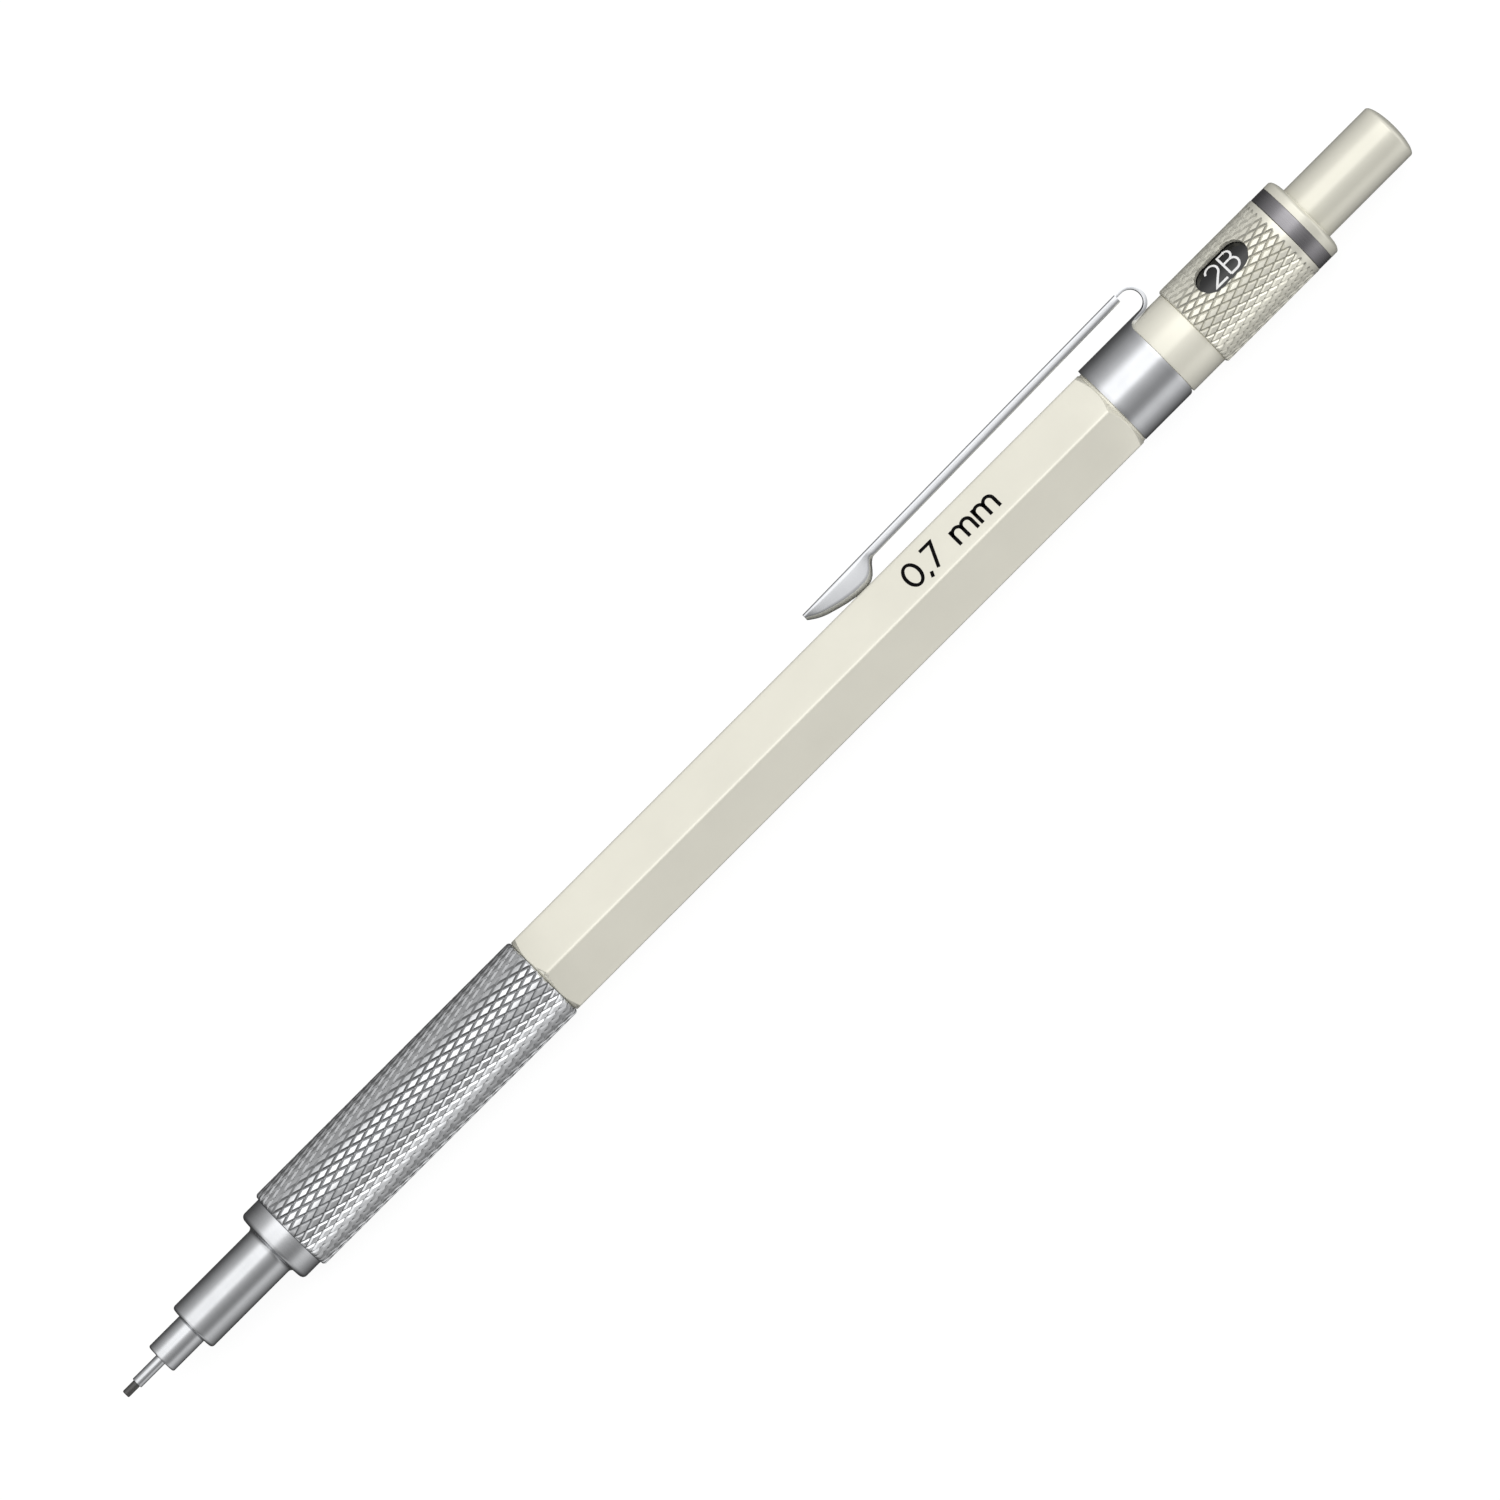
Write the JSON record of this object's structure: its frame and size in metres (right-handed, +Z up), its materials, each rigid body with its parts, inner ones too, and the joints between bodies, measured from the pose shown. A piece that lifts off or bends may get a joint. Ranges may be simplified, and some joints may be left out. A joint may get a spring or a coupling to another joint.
{
  "type": "mechanical pencil",
  "caption": "Drafting mechanical pencil: stepped steel nose with lead sleeve, knurled grip, six-sided ivory barrel, spring clip, turning lead-grade sleeve and push button.",
  "frame": {"origin": "on the pencil's axis, at the mouth of the lead sleeve", "axes": "+X along the pencil from the writing tip to the push button; +Z up, with one flat of the six-sided barrel facing straight down; the clip is on the +Y side, 30 degrees above level"},
  "size_m": [0.1424, 0.0103, 0.0083],
  "materials": {
    "graphite": "dark grey graphite lead, faint sheen",
    "nose_steel": "satin turned steel",
    "knurled_steel": "satin steel with a fine diamond knurl",
    "cream": "satin ivory plastic",
    "clip_chrome": "bright plated spring steel",
    "dark_band": "dark gunmetal, satin",
    "black": "black, grades printed white",
    "brass": "turned brass",
    "spring_steel": "bright spring wire",
    "rubber": "black rubber",
    "eraser_white": "white eraser",
    "tube_grey": "pale grey plastic tube"
  },
  "bodies": {
    "barrel_body": {"barrel": "cream", "thread_insert": "nose_steel", "clutch_sleeve": "brass", "return_spring": "spring_steel", "clip_ring": "clip_chrome", "clip_loop": "clip_chrome", "grade_drum": "black", "friction_ring": "rubber", "band_ring": "dark_band", "end_ring": "cream"},
    "grip_body": {"grip": "knurled_steel"},
    "nose_body": {"nose": "nose_steel", "lead_sleeve": "nose_steel", "lead_retainer": "rubber"},
    "clutch_ring_body": {"clutch_ring": "brass"},
    "plunger": {"chuck": "brass", "chuck_connector": "brass", "lead_tube": "tube_grey", "eraser_holder": "nose_steel", "eraser": "eraser_white"},
    "button_cap": {"push_button": "cream"},
    "lead_body": {"lead": "graphite"},
    "indicator": {"indicator_sleeve": "cream"},
    "clip_arm_body": {"clip_arm": "clip_chrome"}
  },
  "joints": [
    {"name": "button_press", "type": "slide", "parent": "barrel_body", "child": "plunger", "axis": [-1, 0, 0], "range_m": [0, 0.0028], "stiffness_N_per_m": 800, "springref_m": -0.003, "deforming": ["return_spring"]},
    {"name": "lead_feed", "type": "slide", "parent": "barrel_body", "child": "lead_body", "axis": [-1, 0, 0], "range_m": [0, 0.0007]},
    {"name": "clutch_ring_slide", "type": "slide", "parent": "barrel_body", "child": "clutch_ring_body", "axis": [-1, 0, 0], "range_m": [0, 0.0009]},
    {"name": "button_cap_pull", "type": "slide", "parent": "plunger", "child": "button_cap", "axis": [1, 0, 0], "range_m": [0, 0.014]},
    {"name": "indicator_turn", "type": "hinge", "parent": "barrel_body", "child": "indicator", "pos_m": [0.1237, 0, 0], "axis": [1, 0, 0], "continuous": true},
    {"name": "clip_flex", "type": "hinge", "parent": "barrel_body", "child": "clip_arm_body", "pos_m": [0.11644, 0.00429, 0.00247], "axis": [0, 0.5, -0.866], "range_deg": [0, 4], "stiffness_Nm_per_rad": 2.7, "springref_deg": -1.72, "deforming": ["clip_loop"]},
    {"name": "grip_unscrew", "type": "slide", "parent": "barrel_body", "child": "grip_body", "axis": [-1, 0, 0], "range_m": [0, 0.034]},
    {"name": "nose_unscrew", "type": "slide", "parent": "grip_body", "child": "nose_body", "axis": [-1, 0, 0], "range_m": [0, 0.012]}
  ],
  "couplings": [
    {"joint": "lead_feed", "follows": "button_press", "ratio": 0.25},
    {"joint": "clutch_ring_slide", "follows": "button_press", "ratio": 0.32}
  ]
}
